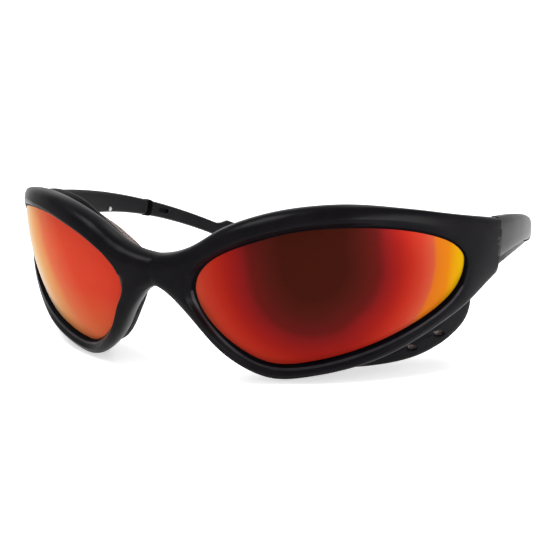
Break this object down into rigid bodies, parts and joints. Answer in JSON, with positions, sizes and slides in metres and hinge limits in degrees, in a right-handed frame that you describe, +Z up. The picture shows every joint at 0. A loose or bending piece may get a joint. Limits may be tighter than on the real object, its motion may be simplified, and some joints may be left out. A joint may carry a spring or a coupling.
{
  "type": "welding glasses",
  "caption": "Wrap-around welding glasses with mirror-coated lenses, gasket and foam seal, and folding temples with latched ends.",
  "frame": {"origin": "on the surface the glasses stand on, under the middle of the box round all parts, with the temples open", "axes": "+Z up, +X towards the wearer's left, the wearer looks along -Y and the temples reach back along +Y"},
  "size_m": [0.1432, 0.1486, 0.0432],
  "materials": {
    "frame_black": "satin moulded black nylon",
    "temple_black": "satin moulded black nylon",
    "collar_black": "matt black sealing ring",
    "lens_coating": "polycarbonate with a red to gold mirror coating",
    "gasket_rubber": "soft black moulded elastomer",
    "foam": "open-cell dark grey-brown foam",
    "steel": "bright steel",
    "spring_steel": "spring steel strip",
    "latch_black": "matt black acetal button"
  },
  "bodies": {
    "front": {"front_frame": "frame_black", "lens_left": "lens_coating", "lens_right": "lens_coating", "gasket_left": "gasket_rubber", "gasket_right": "gasket_rubber", "foam_left": "foam", "foam_right": "foam", "screw_left": "steel", "screw_right": "steel"},
    "temple_left_body": {"temple_left": "temple_black", "collar_left": "collar_black", "temple_end_left": "temple_black", "pin_left": "steel", "latch_spring_left": "spring_steel"},
    "latch_left_body": {"latch_left": "latch_black"},
    "temple_right_body": {"temple_right": "temple_black", "collar_right": "collar_black", "temple_end_right": "temple_black", "pin_right": "steel", "latch_spring_right": "spring_steel"},
    "latch_right_body": {"latch_right": "latch_black"}
  },
  "joints": [
    {"name": "temple_left_fold", "type": "hinge", "parent": "front", "child": "temple_left_body", "pos_m": [0.06533, -0.02199, 0.0309], "axis": [0, 0, 1], "range_deg": [0, 88]},
    {"name": "latch_left_press", "type": "slide", "parent": "temple_left_body", "child": "latch_left_body", "axis": [0.9761, 0.2172, 0], "range_m": [0, 0.0005], "stiffness_N_per_m": 600, "springref_m": -0.0003, "deforming": ["latch_spring_left"]},
    {"name": "temple_right_fold", "type": "hinge", "parent": "front", "child": "temple_right_body", "pos_m": [-0.06533, -0.02199, 0.0309], "axis": [0, 0, -1], "range_deg": [0, 80]},
    {"name": "latch_right_press", "type": "slide", "parent": "temple_right_body", "child": "latch_right_body", "axis": [-0.9761, 0.2172, 0], "range_m": [0, 0.0005], "stiffness_N_per_m": 600, "springref_m": -0.0003, "deforming": ["latch_spring_right"]}
  ]
}
